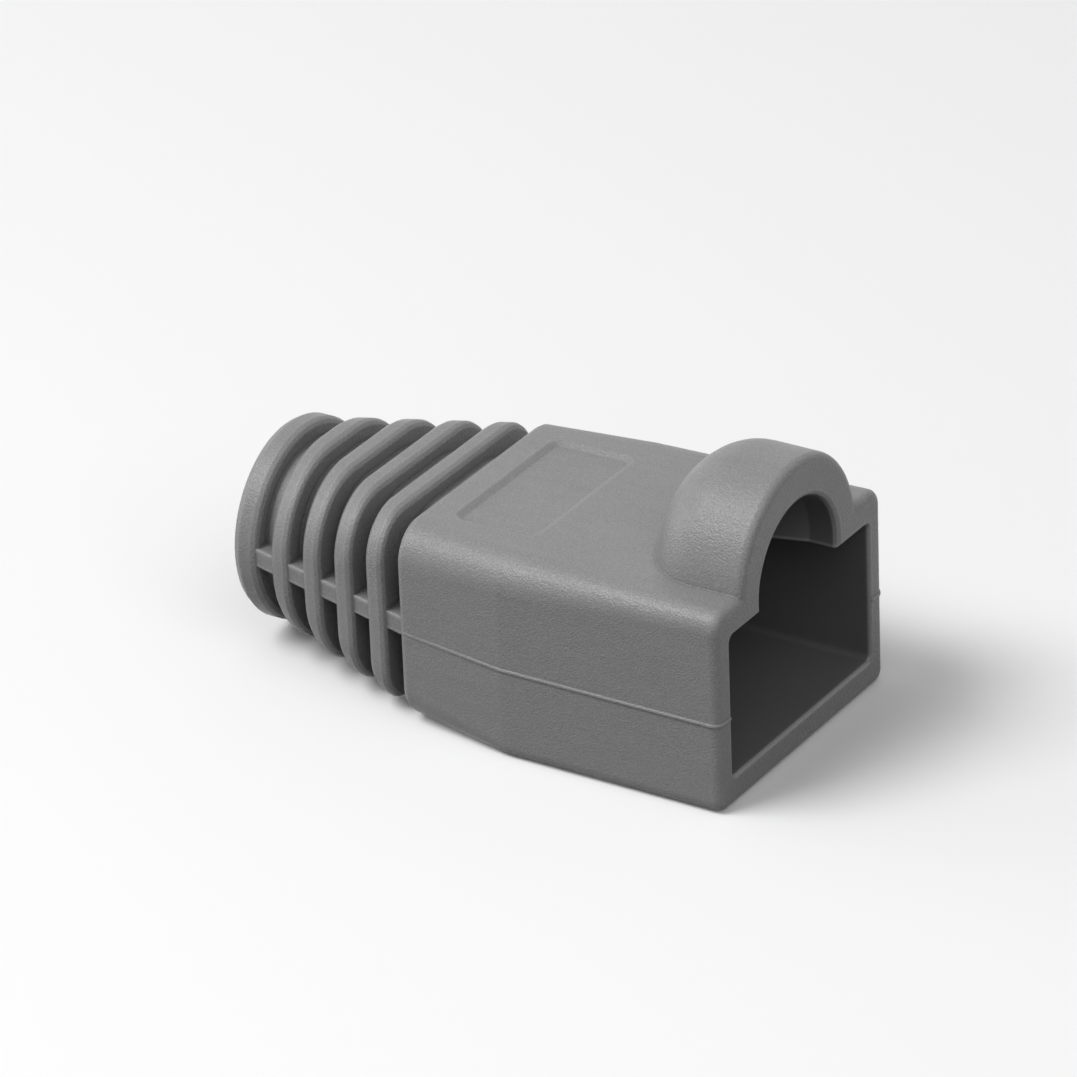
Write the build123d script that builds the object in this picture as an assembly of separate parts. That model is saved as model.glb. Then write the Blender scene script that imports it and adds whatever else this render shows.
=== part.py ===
"""Strain relief boot for an 8P8C (RJ45) network plug, moulded in one piece of soft plastic.

The frame is the cable passage: the origin is the middle of the bore at the cable end, +X runs
along the bore towards the plug mouth, +Z is up through the latch hood and Y is across.
All sizes are in millimetres.
"""
import os
from math import atan2, cos, degrees, pi, radians, sin, tan

from build123d import *

# Box that slips over the back of the plug
mouth_width = 14.0
mouth_height = 9.5
box_length = 10.9          # from the mouth to where the sides turn in
box_rise = -0.2            # middle of the box, from the middle of the bore
side_wall = 1.1
roof_wall = 1.4            # roof and floor of the box
plug_corner = 0.3          # radius in the corners of the plug space
mouth_top_radius = 0.8     # upper corners of the outline at the mouth
turn_top_radius = 1.5      # and where the sides turn in
box_bottom_radius = 0.6

# Waist between the box and the first groove
waist_length = 5.5
waist_width = 13.0
waist_height = 9.4
waist_rise = -0.2
waist_top_radius = 1.7
waist_bottom_radius = 1.8
throat_length = 4.5        # funnel from the plug space down to the bore
throat_step = 0.15         # small shoulder between the funnel and the bore

# Ribbed tail that ends in a round ring
groove_count = 5
groove_width = 0.87
rib_width = 1.075
groove_depth = 1.7         # at the sides of the first groove
floor_radius = 2.6         # corners of the first groove's floor
ring_length = 1.4
ring_diameter = 9.3
bore_diameter = 6.5
tail_wall = 0.5            # between the bore and the groove floors
web_above = 0.55           # webs that join the ribs along both flanks, from the parting line up
web_below = 0.3            # and from the parting line down
belly_web_width = 1.3      # web that joins the ribs along the underside
ring_edge = 0.5
rib_edge = 0.28
hole_edge = 0.1

# Hood over the plug's latch, and the space for the latch inside it
hood_radius = 4.95
hood_straight = 2.6        # from the mouth to the start of the rounded back
hood_back = 3.5            # length of the rounded back
hood_drop = 0.72           # axis of the hood below the roof's outer face
latch_radius = 3.25
latch_straight = 1.4
latch_drop = 0.95          # axis of the latch space below the roof's outer face
latch_edge = 0.25          # edge of the latch space at the mouth
rim_edge = 0.4             # outer edge of the mouth
plug_edge = 0.12           # edge of the plug space at the mouth

# Label recesses in the top and the underside of the waist
label_from_mouth = 10.6
label_length = 4.3
label_width = 8.5
label_depth = 0.17
label_corner = 0.3
label_draft = 62           # degrees that the recess's walls lean out

# Parting line of the mould: level on the box, then rising to the middle of the ring
seam_drop = 0.45           # below the middle of the box
seam_height = 0.14
seam_proud = 0.05

# Positions along the boot
body_start = ring_length + groove_count * groove_width + (groove_count - 1) * rib_width
turn = body_start + waist_length
mouth = turn + box_length
roof = box_rise + mouth_height / 2

# The outline of the outside runs straight between these stations:
# position along the boot, width, height, upper radius, lower radius, rise
stations = [
    (ring_length, ring_diameter, ring_diameter, ring_diameter / 2, ring_diameter / 2, 0),
    (body_start, waist_width, waist_height, waist_top_radius, waist_bottom_radius, waist_rise),
    (turn, mouth_width, mouth_height, turn_top_radius, box_bottom_radius, box_rise),
    (mouth, mouth_width, mouth_height, mouth_top_radius, box_bottom_radius, box_rise),
]


def section(x, width, height, top_radius, bottom_radius, rise=0.0):
    """Face across the boot at x: a rectangle whose upper and lower corners have their own radii."""
    face = Rectangle(width, height)
    face = fillet(face.vertices().group_by(Axis.Y)[-1], top_radius)
    face = fillet(face.vertices().group_by(Axis.Y)[0], bottom_radius)
    return Plane.YZ.offset(x) * Pos(0, rise) * face


def outer_section(x, inset=0.0):
    """Face across the boot at x that follows the outer outline, so far inside it."""
    before, after = next(pair for pair in zip(stations, stations[1:]) if x <= pair[1][0])
    share = (x - before[0]) / (after[0] - before[0])
    width, height, top, bottom, rise = (a + (b - a) * share for a, b in zip(before[1:], after[1:]))
    return section(x, width - 2 * inset, height - 2 * inset, top - inset, bottom - inset, rise)


def plug_section(x, margin=0.0):
    """Face across the plug space at x, with that margin all round."""
    width = mouth_width - 2 * side_wall + 2 * margin
    height = mouth_height - 2 * roof_wall + 2 * margin
    return section(x, width, height, plug_corner + margin, plug_corner + margin, box_rise)


def edge_steps(radius):
    """Depth and inset of the points that round an edge with flats 30 degrees apart."""
    step = (3**0.5 - 1) / 2 * radius
    return [(0, radius), (step, step), (radius, 0)]


def make_block():
    """Straight box and tapered waist as one solid block, with its edge at the first groove rounded."""
    sections = [outer_section(body_start + depth, inset) for depth, inset in edge_steps(rib_edge)]
    sections += [outer_section(turn), outer_section(mouth)]
    return loft(sections, ruled=True)


def make_rib(x):
    """One rib, from x towards the mouth, with both crest edges rounded."""
    near = [outer_section(x + depth, inset) for depth, inset in edge_steps(rib_edge)]
    far = [outer_section(x + rib_width - depth, inset) for depth, inset in edge_steps(rib_edge)]
    return loft([*near, *reversed(far)], ruled=True)


def make_ring():
    """Round end ring as a turned profile, with a wider rounding outside at the cable end."""
    outer = ring_diameter / 2
    inner = bore_diameter / 2
    cable_end = [(depth, outer - inset) for depth, inset in edge_steps(ring_edge)]
    rib_end = [(ring_length - depth, outer - inset) for depth, inset in reversed(edge_steps(rib_edge))]
    hole = [(ring_length, inner), (hole_edge, inner), (0, inner + hole_edge)]
    profile = make_face(Polyline(*cable_end, *rib_end, *hole, close=True))
    return revolve(Plane.XZ * profile, Axis.X)


def parting_slab(above, below):
    """Slab right across the boot, from so far below the parting line to so far above it."""
    front = mouth + seam_proud
    path = [(front, box_rise - seam_drop), (turn, box_rise - seam_drop), (ring_length / 2, 0)]
    upper = [(x, z + above) for x, z in path]
    lower = [(x, z - below) for x, z in reversed(path)]
    profile = make_face(Polyline(*upper, *lower, close=True))
    return extrude(Plane.XZ * profile, mouth_width, both=True)


def plan_prism(*half):
    """Upright prism whose plan is the given half outline, mirrored in the boot's middle."""
    other = [(x, -y) for x, y in reversed(half)]
    return extrude(make_face(Polyline(*half, *other, close=True)), mouth_height, both=True)


def make_tail():
    """Groove floors, ribs and the webs along the flanks and the belly."""
    floor = bore_diameter + 2 * tail_wall
    front = section(body_start, waist_width - 2 * groove_depth, floor, floor_radius, floor_radius)
    back = section(ring_length, floor, floor, 0.46 * floor, 0.46 * floor)
    tail = loft([back, front], ruled=True)
    for i in range(groove_count - 1):
        tail += make_rib(ring_length + groove_width + i * (groove_width + rib_width))

    crest_at_ring = ring_diameter / 2 - rib_edge
    flanks = plan_prism((ring_length / 2, crest_at_ring), (body_start, waist_width / 2 - rib_edge))
    tail += flanks & parting_slab(web_above, web_below)
    belly = Polyline(
        (ring_length / 2, 0),
        (body_start, 0),
        (body_start, waist_rise - waist_height / 2 + rib_edge),
        (ring_length / 2, -crest_at_ring),
        close=True,
    )
    tail += extrude(Plane.XZ * make_face(belly), belly_web_width / 2, both=True)
    return tail


def make_seam():
    """Fine raised line that the mould's halves leave on the waist, the box and the mouth's rim."""
    plan = plan_prism(
        (body_start, waist_width / 2 - rib_edge),
        (body_start + rib_edge, waist_width / 2 + seam_proud),
        (turn, mouth_width / 2 + seam_proud),
        (mouth + seam_proud, mouth_width / 2 + seam_proud),
    )
    plan = fillet(plan.edges().filter_by(Axis.Z).group_by(Axis.X)[-1], rim_edge + seam_proud)
    seam = plan & parting_slab(seam_height / 2, seam_height / 2)
    return seam - extrude(plug_section(turn, plug_edge), box_length + seam_proud)


def make_hood():
    """Rod from the mouth with a rounded back end; the hood is what stands above the roof."""
    start = mouth - hood_straight
    outline = Polyline((start, hood_radius), (mouth, hood_radius), (mouth, 0), (start - hood_back, 0))
    outline += EllipticalCenterArc((start, 0), hood_back, hood_radius, start_angle=90, arc_size=90)
    rod = revolve(Plane.XZ * make_face(outline), Axis.X)
    return Pos(0, 0, roof - hood_drop) * rod


def make_latch_space():
    """Rod inside the hood, with a rounded edge at the mouth and a blunt end of two cones."""
    start = mouth - latch_straight
    edge = [(mouth - depth, latch_radius + inset) for depth, inset in edge_steps(latch_edge)]
    end = [(start - latch_radius * sin(angle), latch_radius * cos(angle)) for angle in (0, pi / 6, pi / 3)]
    outline = Polyline((mouth, 0), *edge, *end, (end[-1][0], 0), close=True)
    rod = revolve(Plane.XZ * make_face(outline), Axis.X)
    return Pos(0, 0, roof - latch_drop) * rod


def make_passage():
    """Plug space, square funnel and cable bore, as the mould's core."""
    start = turn - throat_length
    narrow = bore_diameter + 2 * throat_step
    throat = loft([section(start, narrow, narrow, plug_corner, plug_corner), plug_section(turn)], ruled=True)
    bore = Plane.YZ * extrude(Circle(bore_diameter / 2), start)
    return bore + throat + extrude(plug_section(turn), box_length)


def label_recess(side):
    """Cutter for the recess in the top (side 1) or the underside (side -1) of the waist."""
    z_turn = box_rise + side * mouth_height / 2
    z_waist = waist_rise + side * waist_height / 2
    slope = atan2(z_turn - z_waist, waist_length)
    from_turn = label_from_mouth + label_length / 2 - box_length
    lean = label_depth * tan(radians(label_draft))
    bed = RectangleRounded(label_length - 2 * lean, label_width - 2 * lean, label_corner)
    cutter = Pos(0, 0, -label_depth) * extrude(bed, 2 * label_depth, taper=-label_draft)
    if side < 0:
        cutter = Rot(180, 0, 0) * cutter
    return Pos(turn, 0, z_turn) * Rot(0, -degrees(slope), 0) * Pos(-from_turn, 0, 0) * cutter


def make_boot():
    """The whole boot as one solid."""
    boot = make_block() + make_hood() - make_passage()
    boot = fillet(boot.faces().sort_by(Axis.X)[-1].outer_wire().edges(), rim_edge)
    boot = chamfer(boot.faces().sort_by(Axis.X)[-1].inner_wires()[0].edges(), plug_edge)
    boot -= make_latch_space()
    boot += make_tail() + make_seam() - make_passage()
    boot += make_ring()
    for side in (1, -1):
        boot -= label_recess(side)
    return boot


os.makedirs("parts", exist_ok=True)
boot = make_boot()
boot.label = "boot"
export_step(boot, "parts/boot.step")
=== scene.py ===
# %% [markdown]
# # A strain relief boot in soft grey plastic
#
# The boot is one moulding of soft plastic that slips over the back of a network plug and keeps
# the cable from kinking. Its shape is finished before this lesson starts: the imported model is
# loaded as a fixed frame, in metres, with +X along the cable bore towards the plug mouth and +Z up
# through the latch hood. What is left is everything that makes it look like plastic from a steel
# mould: the fine spark-eroded grain, the slight unevenness of tone, and light that shows both.

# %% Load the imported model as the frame
from math import cos, radians, sin

import bpy
import numpy as np
from mathutils import Matrix, Vector


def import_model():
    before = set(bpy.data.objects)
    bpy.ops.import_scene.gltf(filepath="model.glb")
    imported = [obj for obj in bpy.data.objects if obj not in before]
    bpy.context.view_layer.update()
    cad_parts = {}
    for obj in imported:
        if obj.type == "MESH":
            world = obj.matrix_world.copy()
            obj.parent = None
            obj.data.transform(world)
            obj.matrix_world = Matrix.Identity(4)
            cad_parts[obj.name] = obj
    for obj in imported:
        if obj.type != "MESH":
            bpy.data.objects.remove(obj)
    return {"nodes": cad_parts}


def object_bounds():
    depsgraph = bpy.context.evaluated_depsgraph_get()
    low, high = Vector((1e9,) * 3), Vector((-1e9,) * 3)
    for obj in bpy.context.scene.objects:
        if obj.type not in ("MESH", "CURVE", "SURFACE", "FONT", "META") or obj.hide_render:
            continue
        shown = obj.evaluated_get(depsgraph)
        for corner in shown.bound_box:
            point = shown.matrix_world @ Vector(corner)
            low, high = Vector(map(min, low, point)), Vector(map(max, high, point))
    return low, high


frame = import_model()
bpy.context.view_layer.update()
cad_low, cad_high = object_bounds()
boot = frame["nodes"]["boot"]
MM = 0.001
print("boot, in mm:", [round(side / MM, 2) for side in cad_high - cad_low])

# %% [markdown]
# ## The camera
#
# The photograph was taken from a little above, with the mouth turned towards the lens. A camera
# could be placed by hand until it looks right, but four plain values say it better: where it aims,
# the two angles that it looks from, and how far away it stands. The distance sets the perspective
# and the focal length only sets the crop, so the distance is the photograph's and a long lens fills
# the frame with this one boot.

# %% Camera
AZIMUTH = 32.98          # degrees round from straight in front, towards the mouth
ELEVATION = 27.48        # degrees above the horizon
ROLL = -2.30             # degrees that the picture's right side dips
DISTANCE = 319.1 * MM
SENSOR = 36.0            # millimetres of film across the frame
LENS = 245.0             # millimetres


def orbit_direction(azimuth, elevation):
    """Unit vector from the object towards a viewpoint: azimuth 0 is -Y and 90 is +X."""
    a, e = radians(azimuth), radians(elevation)
    return Vector((sin(a) * cos(e), -cos(a) * cos(e), sin(e)))


def look_at(place, target, roll=0.0):
    """World matrix whose -Z axis runs from place to target, with X level before the roll."""
    back = (place - target).normalized()
    right = Vector((0, 0, 1)).cross(back).normalized()
    up = back.cross(right)
    turned = right * cos(radians(roll)) + up * sin(radians(roll))
    axes = Matrix((turned, back.cross(turned), back)).transposed().to_4x4()
    return Matrix.Translation(place) @ axes


aim = (cad_low + cad_high) / 2
camera = bpy.data.objects.new("camera", bpy.data.cameras.new("camera"))
camera.data.sensor_width = SENSOR
camera.data.lens = LENS
camera.data.clip_start = 10 * MM
camera.data.clip_end = 10.0
camera.matrix_world = look_at(aim + orbit_direction(AZIMUTH, ELEVATION) * DISTANCE, aim, ROLL)
bpy.context.scene.collection.objects.link(camera)
bpy.context.scene.camera = camera
print("camera at, in mm:", [round(v / MM, 1) for v in camera.matrix_world.translation])

# %% [markdown]
# ## Adding and wiring nodes
#
# Every finish below is a small tree of nodes. Written out as a list of nodes and then a list of
# links, even a small tree is hard to follow. So one helper adds a node and wires it in the same
# call, and four short ones build on it, for what every tree needs: arithmetic on numbers and on
# vectors, a change of range, and a mix of two colours.


# %% Node helpers
def add(tree, kind, inputs=None, **settings):
    """Adds a node of that kind with its options and its inputs, and returns it.

    Each input's value is a plain one, or the output socket that feeds it.
    """
    node = tree.nodes.new(kind)
    for name, value in settings.items():
        setattr(node, name, value)
    for name, value in (inputs or {}).items():
        if isinstance(value, bpy.types.NodeSocket):
            tree.links.new(value, node.inputs[name])
        else:
            node.inputs[name].default_value = value
    return node


def calc(tree, operation, *values):
    """Socket with the result of that arithmetic on sockets or plain numbers."""
    return add(tree, "ShaderNodeMath", dict(enumerate(values)), operation=operation).outputs[0]


def calc_vector(tree, operation, *values):
    """The same on vectors. A length is a number, and any other result is a vector."""
    node = add(tree, "ShaderNodeVectorMath", dict(enumerate(values)), operation=operation)
    return node.outputs["Value" if operation == "LENGTH" else "Vector"]


def mapped(tree, value, given, wanted=(0.0, 1.0), **settings):
    """Socket with the value carried from the range given to the range wanted."""
    ends = {"From Min": given[0], "From Max": given[1], "To Min": wanted[0], "To Max": wanted[1]}
    return add(tree, "ShaderNodeMapRange", {"Value": value, **ends}, **settings).outputs["Result"]


def tinted(tree, factor, source, colour):
    """Socket with the source mixed towards the colour by the factor."""
    inputs = {"Factor": factor, "A": source, "B": colour}
    return add(tree, "ShaderNodeMix", inputs, data_type="RGBA").outputs["Result"]


print("helpers:", [helper.__name__ for helper in (add, calc, calc_vector, mapped, tinted)])

# %% [markdown]
# ## Groups
#
# An effect that stands on its own, such as a grain, is best kept in a shader node group: it is
# built once, has named inputs and outputs, and each material that uses it gives its own values.
# Two helpers open and close a group, so that what lies between them is only the effect.


# %% Group helpers
def new_group(name, inputs, outputs):
    """Empty shader group with those numbers in and out; returns it and the sockets that come in."""
    group = bpy.data.node_groups.new(name, "ShaderNodeTree")
    for labels, way in ((inputs, "INPUT"), (outputs, "OUTPUT")):
        for label in labels:
            group.interface.new_socket(label, in_out=way, socket_type="NodeSocketFloat")
    return group, add(group, "NodeGroupInput").outputs


def finish_group(group, results):
    """Joins the named results to the group's outputs, and prints how large it has become."""
    add(group, "NodeGroupOutput", results)
    print("group", group.name, "with", len(group.nodes), "nodes")
    return group


print("helpers:", [helper.__name__ for helper in (new_group, finish_group)])

# %% [markdown]
# ## The spark-eroded grain
#
# The mould's cavity is cut by sparks, which leave craters about a tenth of a millimetre wide, and
# the plastic copies them. That is why the surface looks matt and yet glitters where a highlight
# lies. Real geometry would need millions of faces, so the grain is a height for a bump: round
# pits from a Voronoi pattern, mixed with a noise so that no two craters are alike.


# %% Group: spark grain
def make_spark_grain():
    """Height, low in a pit and high on a ridge: pits times their share, noise times the rest.

    The inputs are the craters' width in metres and the share of the pits.
    """
    group, given = new_group("spark_grain", ["Crater", "Pits"], ["Height"])
    place = add(group, "ShaderNodeTexCoord").outputs["Object"]
    size = {"Vector": place, "Scale": calc(group, "DIVIDE", 1.0, given["Crater"])}
    round_pits = {"Smoothness": 0.6, "Randomness": 1.0}
    pits = add(group, "ShaderNodeTexVoronoi", {**size, **round_pits}, feature="SMOOTH_F1")
    noise = add(group, "ShaderNodeTexNoise", {**size, "Detail": 2.0, "Roughness": 0.6})
    parts = {"A": noise.outputs["Fac"], "B": pits.outputs["Distance"]}
    height = add(group, "ShaderNodeMix", {"Factor": given["Pits"], **parts}, data_type="FLOAT")
    return finish_group(group, {"Height": height.outputs["Result"]})


spark_grain = make_spark_grain()

# %% [markdown]
# ## Uneven tone
#
# A soft moulding is never one flat grey. The filler in the plastic drifts with the flow, which
# gives faint clouds some millimetres wide and lines along the way that the plastic ran, and
# handling leaves patches a little smoother than the rest. One group gives a mask for each.


# %% Group: flow tone
def make_flow_tone():
    """Two masks about 0.5: clouds, a wide soft noise, and flow, a noise drawn out along X.

    The inputs are the width of a cloud and of a streak in metres.
    """
    group, given = new_group("flow_tone", ["Cloud", "Streak"], ["Clouds", "Flow"])
    place = add(group, "ShaderNodeTexCoord").outputs["Object"]
    drawn_out = {"Vector": place, "Scale": (0.12, 1.0, 1.0)}
    along = add(group, "ShaderNodeMapping", drawn_out).outputs["Vector"]
    cloud = {"Vector": place, "Scale": calc(group, "DIVIDE", 1.0, given["Cloud"])}
    streak = {"Vector": along, "Scale": calc(group, "DIVIDE", 1.0, given["Streak"])}
    clouds = add(group, "ShaderNodeTexNoise", {**cloud, "Detail": 3.0, "Roughness": 0.55})
    flow = add(group, "ShaderNodeTexNoise", {**streak, "Detail": 3.0, "Roughness": 0.5})
    return finish_group(group, {"Clouds": clouds.outputs["Fac"], "Flow": flow.outputs["Fac"]})


flow_tone = make_flow_tone()

# %% [markdown]
# ## Pale edges with a painted highlight, creases with painted shade
#
# Every outer edge of the real boot shows as a fine pale line: the ribs, the rim, the parting line.
# The plastic is rubbed smooth there, where it is thin it lets a little light through, and the small
# roundings catch a highlight. The paler grey on the edges stands for all of it, so it is partly wear
# and partly a painted highlight. The creases get a darker grey, which is painted shade. Both places
# are found from the shape alone. Short rays are sent into the solid, and where many of them come out
# again, the point lies near an outer edge. Rays sent outwards that meet the solid again tell of a
# crease.


# %% Group: edge wear
def make_wear_highlight_and_crease_shade():
    """Two masks, 0 on a flat face and 1 right at a square edge or in a square crease.

    The inputs are how far each of them reaches, in metres.
    """
    group, given = new_group("wear_highlight_and_crease_shade", ["Edge Width", "Crease Width"], ["Edge", "Crease"])
    free_when_flat, free_when_square = 1.0, 0.5      # share of the rays that meet nothing
    masks = {}
    # Edge places wear together with a painted highlight, and Crease places painted shade.
    for name, inside in (("Edge", True), ("Crease", False)):
        rays = add(group, "ShaderNodeAmbientOcclusion", {"Distance": given[name + " Width"]})
        rays.samples = 8
        rays.inside = inside
        rays.only_local = True
        masks[name] = mapped(group, rays.outputs["AO"], (free_when_flat, free_when_square))
    return finish_group(group, masks)


wear_highlight_and_crease_shade = make_wear_highlight_and_crease_shade()

# %% [markdown]
# ## The core's side of the moulding
#
# The inside is shaped by a polished steel core, which is pulled out lengthways, so it has no grain
# and looks smoother than the outside. It is also a darker grey, partly for the polish and partly as
# painted shade that keeps the mouth dark. A second material would do, but then the mesh would have
# to be cut at the mouth. Plain distances say as well where the inside is: it is all that lies within
# the plug space, the bore or the latch's round space, each taken a hair too large so that its wall
# counts.

# %% Group: core side
PLUG_HALF_WIDTH = 5.95 * MM
PLUG_HALF_HEIGHT = 3.4 * MM
PLUG_MIDDLE = -0.2 * MM      # height above the bore's axis
PLUG_START = 11.0 * MM       # distance from the cable end
ROUND_RADIUS = 3.33 * MM     # of the bore and of the latch's space
LATCH_MIDDLE = 3.6 * MM
LATCH_START = 22.0 * MM


def make_core_side():
    """Mask, 1 where the least of three signed distances is below 0 and 0 elsewhere.

    Plug space: the greatest of |y| - half width, |z - middle| - half height and start - x.
    Bore: the length of (y, z), less the radius.
    Latch's space: the greater of start - x and the length of (y, z - middle), less the radius.
    """
    group, _ = new_group("core_side", [], ["Inside"])
    place = add(group, "ShaderNodeTexCoord").outputs["Object"]
    x, y, z = add(group, "ShaderNodeSeparateXYZ", {"Vector": place}).outputs

    def past(distance, limit):
        """How far a distance goes past its limit."""
        return calc(group, "SUBTRACT", distance, limit)

    def before(start):
        """How far the point lies before that station of the boot."""
        return calc(group, "SUBTRACT", start, x)

    def outside_rod(middle):
        """How far the point lies outside the round space with its middle at that height."""
        moved = {"Vector": place, "Location": (0, 0, -middle), "Scale": (0, 1, 1)}
        across = add(group, "ShaderNodeMapping", moved).outputs["Vector"]
        return past(calc_vector(group, "LENGTH", across), ROUND_RADIUS)

    wide = past(calc(group, "ABSOLUTE", y), PLUG_HALF_WIDTH)
    high = past(calc(group, "ABSOLUTE", past(z, PLUG_MIDDLE)), PLUG_HALF_HEIGHT)
    plug = calc(group, "MAXIMUM", calc(group, "MAXIMUM", wide, high), before(PLUG_START))
    latch = calc(group, "MAXIMUM", outside_rod(LATCH_MIDDLE), before(LATCH_START))
    nearest = calc(group, "MINIMUM", calc(group, "MINIMUM", plug, outside_rod(0.0)), latch)
    return finish_group(group, {"Inside": calc(group, "LESS_THAN", nearest, 0.0)})


core_side = make_core_side()

# %% [markdown]
# ## The plastic's colour
#
# One grey would do from far away. Close by, a ridge of the grain is a shade paler than a pit, and
# the streaks move both by a few percent. On top of that come three places where the tone changes:
# the core's side is darker, partly for its polish and partly as painted shade; the creases are
# darker with painted shade; and the edges are paler, with wear and a painted highlight. Each is one
# mix towards a grey of its own, so each can be judged and changed by itself.

# %% Colour of the plastic
GREY_DARK = (0.156, 0.156, 0.158, 1)
GREY_LIGHT = (0.256, 0.256, 0.257, 1)
# Inside the mouth: a darker grey, partly the polished core and partly painted shade.
GREY_INSIDE_POLISH_AND_SHADE = (0.125, 0.125, 0.126, 1)
# Painted shade in the creases.
GREY_CREASE_SHADE = (0.10, 0.10, 0.101, 1)
# Edges: a paler grey, partly wear and partly a painted highlight.
GREY_EDGE_WEAR_AND_HIGHLIGHT = (0.40, 0.40, 0.40, 1)
PIT_TO_RIDGE = (0.25, 0.65)      # height of the grain in a pit and on a ridge
RIDGE_SHARE = 0.65               # how far a ridge goes from the dark grey to the light one
FLOW_SHARE = 0.35                # how far a streak does
CREASE_RANGE = (0.02, 0.5)       # where in its mask a crease begins, and where it is full
CREASE_SHADE_SHARE = 0.40              # how far it goes towards its own grey
EDGE_RANGE = (0.02, 0.4)
EDGE_HIGHLIGHT_SHARE = 0.45


def plastic_colour(tree, grain, flow, wear_highlight_and_shade, inside):
    """Socket with the base colour: light on ridges and streaks, then inside, creases and edges."""
    ridges = mapped(tree, grain, PIT_TO_RIDGE, (0.0, RIDGE_SHARE))
    shade = calc(tree, "MULTIPLY_ADD", flow, FLOW_SHARE, ridges)
    crease = mapped(tree, wear_highlight_and_shade["Crease"], CREASE_RANGE, (0.0, CREASE_SHADE_SHARE))
    edge = mapped(tree, wear_highlight_and_shade["Edge"], EDGE_RANGE, (0.0, EDGE_HIGHLIGHT_SHARE))
    colour = tinted(tree, shade, GREY_DARK, GREY_LIGHT)
    # Then the inside gets its darker grey (polish and painted shade), the creases painted shade, and
    # the edges a paler grey (wear and a painted highlight).
    colour = tinted(tree, inside, colour, GREY_INSIDE_POLISH_AND_SHADE)
    colour = tinted(tree, crease, colour, GREY_CREASE_SHADE)
    return tinted(tree, edge, colour, GREY_EDGE_WEAR_AND_HIGHLIGHT)


print("greys of the outside from", GREY_DARK[0], "to", GREY_LIGHT[0])

# %% [markdown]
# ## The plastic's surface
#
# Three things tilt the surface, from the widest to the finest. Soft plastic never keeps a
# razor-sharp edge, so a Bevel node turns the normals a little near every edge and crease. Shrinkage
# leaves wide shallow waves, which the highlights give away. The grain comes last, and only on the
# outside, because the core is polished. Rounding or waving the mesh would do the first two as well,
# but the moulding's shape is right as it is.

# %% Surface of the plastic
SOFT_EDGE = 0.12 * MM
WAVE_HEIGHT = 0.02 * MM
GRAIN_HEIGHT = 0.035 * MM


def bumped(tree, height, distance, normal, strength=1.0):
    """Socket with the normal tilted by the slope of the height times the distance."""
    inputs = {"Height": height, "Distance": distance, "Normal": normal, "Strength": strength}
    return add(tree, "ShaderNodeBump", inputs).outputs["Normal"]


def plastic_normal(tree, grain, clouds, inside):
    """Socket with the normal: softened edges, then waves, then grain where it isn't inside."""
    soft = add(tree, "ShaderNodeBevel", {"Radius": SOFT_EDGE}, samples=8).outputs["Normal"]
    waved = bumped(tree, clouds, WAVE_HEIGHT, soft)
    outside = calc(tree, "SUBTRACT", 1.0, inside)
    return bumped(tree, grain, GRAIN_HEIGHT, waved, outside)


print("grain, in mm deep:", round(GRAIN_HEIGHT / MM, 3))

# %% [markdown]
# ## Soft grey plastic
#
# The material places the four groups with this plastic's own widths and joins them to the shader.
# The roughness is middling, since the grain itself spreads the light: a rougher finish would hide
# the glitter in the highlights. The clouds move it a little, as handling does. One even roughness
# would be simpler, but a wide highlight on it looks painted.

# %% Material: soft grey plastic
GRAIN = {"Crater": 0.082 * MM, "Pits": 0.5}
TONE = {"Cloud": 4.0 * MM, "Streak": 0.5 * MM}
EDGE_AND_CREASE_REACH = {"Edge Width": 0.20 * MM, "Crease Width": 0.20 * MM}
CLOUD_RANGE = (0.3, 0.7)
CLOUD_ROUGHNESS = (0.34, 0.42)   # roughness at either end of that range


def make_soft_plastic():
    """Matt grey plastic from the four groups, with the uniform values on the shader itself."""
    material = bpy.data.materials.new("soft_grey_plastic")
    material.use_nodes = True
    tree = material.node_tree
    grain = add(tree, "ShaderNodeGroup", GRAIN, node_tree=spark_grain).outputs["Height"]
    tone = add(tree, "ShaderNodeGroup", TONE, node_tree=flow_tone).outputs
    wear_highlight_and_shade = add(tree, "ShaderNodeGroup", EDGE_AND_CREASE_REACH, node_tree=wear_highlight_and_crease_shade).outputs
    inside = add(tree, "ShaderNodeGroup", node_tree=core_side).outputs["Inside"]
    colour = plastic_colour(tree, grain, tone["Flow"], wear_highlight_and_shade, inside)
    roughness = mapped(tree, tone["Clouds"], CLOUD_RANGE, CLOUD_ROUGHNESS)
    normal = plastic_normal(tree, grain, tone["Clouds"], inside)

    shader = tree.nodes["Principled BSDF"].inputs
    shader["Specular IOR Level"].default_value = 0.5
    tree.links.new(colour, shader["Base Color"])
    tree.links.new(roughness, shader["Roughness"])
    tree.links.new(normal, shader["Normal"])
    return material


soft_plastic = make_soft_plastic()
for slot in boot.material_slots:
    slot.material = soft_plastic
print("material", soft_plastic.name, "on", boot.name)

# %% [markdown]
# ## The floor
#
# The boot lies on a pale sheet that runs out of sight. One flat square would do from above, but
# from a low viewpoint its far edge would cut the picture in two. So the floor is a wide disc, whose
# paper turns into the white of the background further out. Its rings are close together near the
# boot and far apart where nothing happens.

# %% Floor disc
FLOOR_RADIUS = 1.5           # metres
FLOOR_GAP = 0.02 * MM        # below the boot's lowest face, so that the two never share a plane


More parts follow.
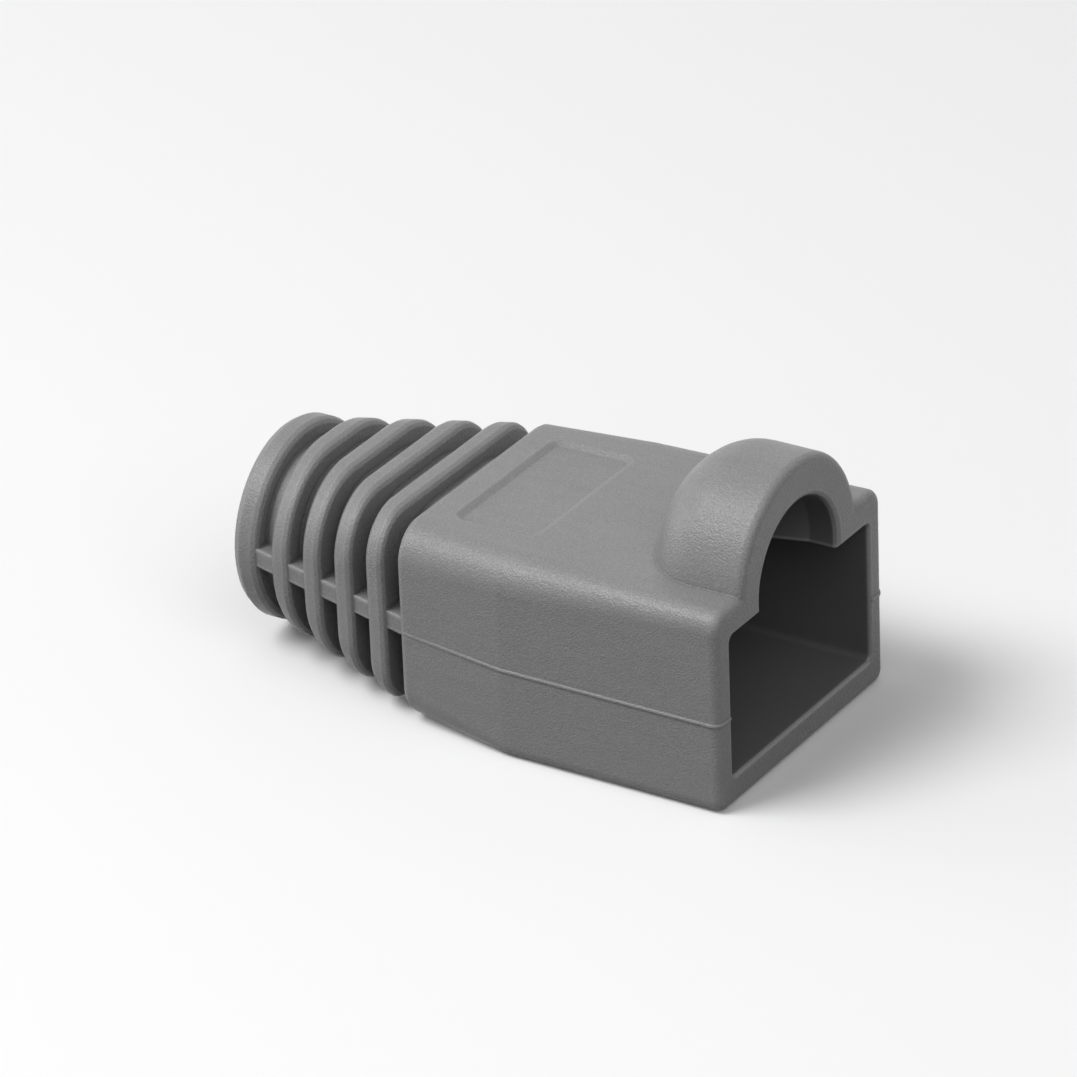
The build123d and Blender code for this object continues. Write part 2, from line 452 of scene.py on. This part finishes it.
def make_disc(name, radius, height, rings=24, sectors=96):
    """Flat disc of quads on a polar grid, closed with a fan of triangles at its middle.

    x = r cos t and y = r sin t, where r grows with the square of the ring's number.
    """
    r = radius * np.linspace(0, 1, rings + 1)[1:] ** 2
    t = np.linspace(0, 2 * np.pi, sectors, endpoint=False)
    x = np.outer(r, np.cos(t)).ravel()
    y = np.outer(r, np.sin(t)).ravel()
    points = np.column_stack([x, y, np.full(x.size, height)])
    points = np.vstack([points, [0, 0, height]])

    around = np.arange(sectors)
    following = (around + 1) % sectors
    ring = sectors * np.arange(rings - 1)[:, None]
    inner, inner_next = ring + around, ring + following
    quads = np.stack([inner, inner + sectors, inner_next + sectors, inner_next], -1)
    fan = np.stack([np.full(sectors, rings * sectors), around, following], -1)
    mesh = bpy.data.meshes.new(name)
    mesh.from_pydata(points.tolist(), [], quads.reshape(-1, 4).tolist() + fan.tolist())
    disc = bpy.data.objects.new(name, mesh)
    bpy.context.scene.collection.objects.link(disc)
    return disc


floor = make_disc("floor", FLOOR_RADIUS, cad_low.z - FLOOR_GAP)
print("floor at z, in mm:", round(floor.data.vertices[0].co.z / MM, 3))

# %% [markdown]
# ## Telling rays apart
#
# The floor and the world have to look white, and yet they mustn't flood the boot with light: a wide
# white sheet would light its lower parts far more than they are lit in the photograph. A second
# floor for each kind of view could do that. The Light Path node does it in one material, because
# it says of each ray what it is for. The same node opens the floor right under the boot, where light
# has to get through for a view from below.

# %% Ray helpers
OPENING_REACH = 0.6 * MM                       # rays longer than this don't pass the opening
OPENING_MIDDLE = (13.2 * MM, 0, 0)
OPENING_HALF = (13.05 * MM, 6.6 * MM, 1)       # its half length and width, just inside the boot's


def seen_rays(tree):
    """Socket that is 1 on the rays that show a thing: to the eye, off gloss and through glass."""
    path = add(tree, "ShaderNodeLightPath").outputs
    eye_or_gloss = calc(tree, "MAXIMUM", path["Is Camera Ray"], path["Is Glossy Ray"])
    return calc(tree, "MAXIMUM", eye_or_gloss, path["Is Transmission Ray"])


def passing_rays(tree):
    """Socket that is 1 on rays from below, and on light that meets the floor right under the boot.

    Right under it means that the ray is short, and |x - middle| and |y - middle| are both less
    than the opening's halves.
    """
    path = add(tree, "ShaderNodeLightPath").outputs
    place = add(tree, "ShaderNodeTexCoord").outputs["Object"]
    from_middle = calc_vector(tree, "SUBTRACT", place, OPENING_MIDDLE)
    in_halves = calc_vector(tree, "DIVIDE", from_middle, OPENING_HALF)
    unsigned = calc_vector(tree, "ABSOLUTE", in_halves)
    x, y, _ = add(tree, "ShaderNodeSeparateXYZ", {"Vector": unsigned}).outputs
    below_boot = calc(tree, "LESS_THAN", calc(tree, "MAXIMUM", x, y), 1.0)
    short = calc(tree, "LESS_THAN", path["Ray Length"], OPENING_REACH)
    not_eye = calc(tree, "SUBTRACT", 1.0, path["Is Camera Ray"])
    opening = calc(tree, "MULTIPLY", calc(tree, "MULTIPLY", short, below_boot), not_eye)
    from_below = add(tree, "ShaderNodeNewGeometry").outputs["Backfacing"]
    return calc(tree, "MAXIMUM", opening, from_below)


print("helpers:", [helper.__name__ for helper in (seen_rays, passing_rays)])

# %% [markdown]
# ## The floor's paper
#
# Paper is a plain diffuse surface. To the eye it is nearly white, keeps the boot's shadow close by
# and fades to the background's white far out. To the boot it is dark, and to a ray that passes it is
# clear. So three shaders are blended, each by one mask.

# %% Material: floor paper
WHITE = (1, 1, 1, 1)
PAPER_SEEN = (0.92, 0.92, 0.92, 1)
PAPER_BOUNCE = (0.10, 0.10, 0.10, 1)
FADE_RANGE = (0.10, 0.60)                      # metres from the middle


def blended(tree, factor, first, second):
    """Mix Shader node from the first shader, at factor 0, to the second, at 1."""
    return add(tree, "ShaderNodeMixShader", {0: factor, 1: first.outputs[0], 2: second.outputs[0]})


def make_floor_paper():
    """Near-white paper that keeps shadows, fades to plain white far out and is clear from below."""
    material = bpy.data.materials.new("floor_paper")
    material.use_nodes = True
    tree = material.node_tree
    tree.nodes.clear()
    place = add(tree, "ShaderNodeTexCoord").outputs["Object"]
    away = calc_vector(tree, "LENGTH", place)
    fade = mapped(tree, away, FADE_RANGE, interpolation_type="SMOOTHSTEP")
    seen = seen_rays(tree)
    colour = tinted(tree, seen, PAPER_BOUNCE, PAPER_SEEN)
    paper = add(tree, "ShaderNodeBsdfDiffuse", {"Color": colour})
    white = add(tree, "ShaderNodeEmission", {"Color": WHITE, "Strength": 1.0})
    clear = add(tree, "ShaderNodeBsdfTransparent")
    sheet = blended(tree, calc(tree, "MULTIPLY", seen, fade), paper, white)
    both = blended(tree, passing_rays(tree), sheet, clear)
    add(tree, "ShaderNodeOutputMaterial", {"Surface": both.outputs[0]})
    return material


floor_paper = make_floor_paper()
floor.data.materials.append(floor_paper)
print("material", floor_paper.name, "on", floor.name)

# %% [markdown]
# ## The sky
#
# Around the boot is a plain white studio. A world of one white would be simplest, but it would shine
# from every side and wash out the form. So it is white to the rays that show it, and a dim even
# sky as a source.

# %% World
SKY_STRENGTH = 0.30


def make_world():
    """White to the rays that show a thing; a dimmer even sky to the rest."""
    world = bpy.data.worlds.new("studio")
    world.use_nodes = True
    tree = world.node_tree
    tree.nodes.clear()
    sky = add(tree, "ShaderNodeBackground", {"Color": WHITE, "Strength": SKY_STRENGTH})
    white = add(tree, "ShaderNodeBackground", {"Color": WHITE, "Strength": 1.0})
    both = blended(tree, seen_rays(tree), sky, white)
    add(tree, "ShaderNodeOutputWorld", {"Surface": both.outputs[0]})
    return world


bpy.context.scene.world = make_world()
bpy.context.scene.view_settings.view_transform = "Standard"
print("sky strength:", SKY_STRENGTH)

# %% [markdown]
# ## The lamps
#
# The photograph has one wide window of light high up on the left, which draws the bright line along
# the near edge and the spot on the hood. Low light from the left reaches the ribs, and a weak one
# from the right keeps the mouth's rim and the grooves from going black. Spots would draw hard
# shadows, so all three are area lamps, which have the soft edges of a window.


# %% Lamps
def make_lamp(name, azimuth, elevation, distance, width, level):
    """Square area lamp that faces the boot; level is what it adds to a white face turned to it."""
    data = bpy.data.lights.new(name, "AREA")
    data.shape = "SQUARE"
    data.size = width
    data.energy = level * np.pi**2 * distance**2
    lamp = bpy.data.objects.new(name, data)
    lamp.matrix_world = look_at(aim + orbit_direction(azimuth, elevation) * distance, aim)
    bpy.context.scene.collection.objects.link(lamp)
    return lamp


lamps = [
    make_lamp("window", azimuth=-42, elevation=55, distance=0.5, width=0.25, level=0.72),
    make_lamp("fill left", azimuth=-80, elevation=12, distance=0.6, width=0.35, level=0.22),
    make_lamp("fill right", azimuth=55, elevation=45, distance=0.6, width=0.45, level=0.24),
]
print("lamps:", [lamp.name for lamp in lamps])

# %% [markdown]
# ## Last update
#
# The view layer is updated once more, so that the dressed scene is current.

# %% Update the view layer
bpy.context.view_layer.update()
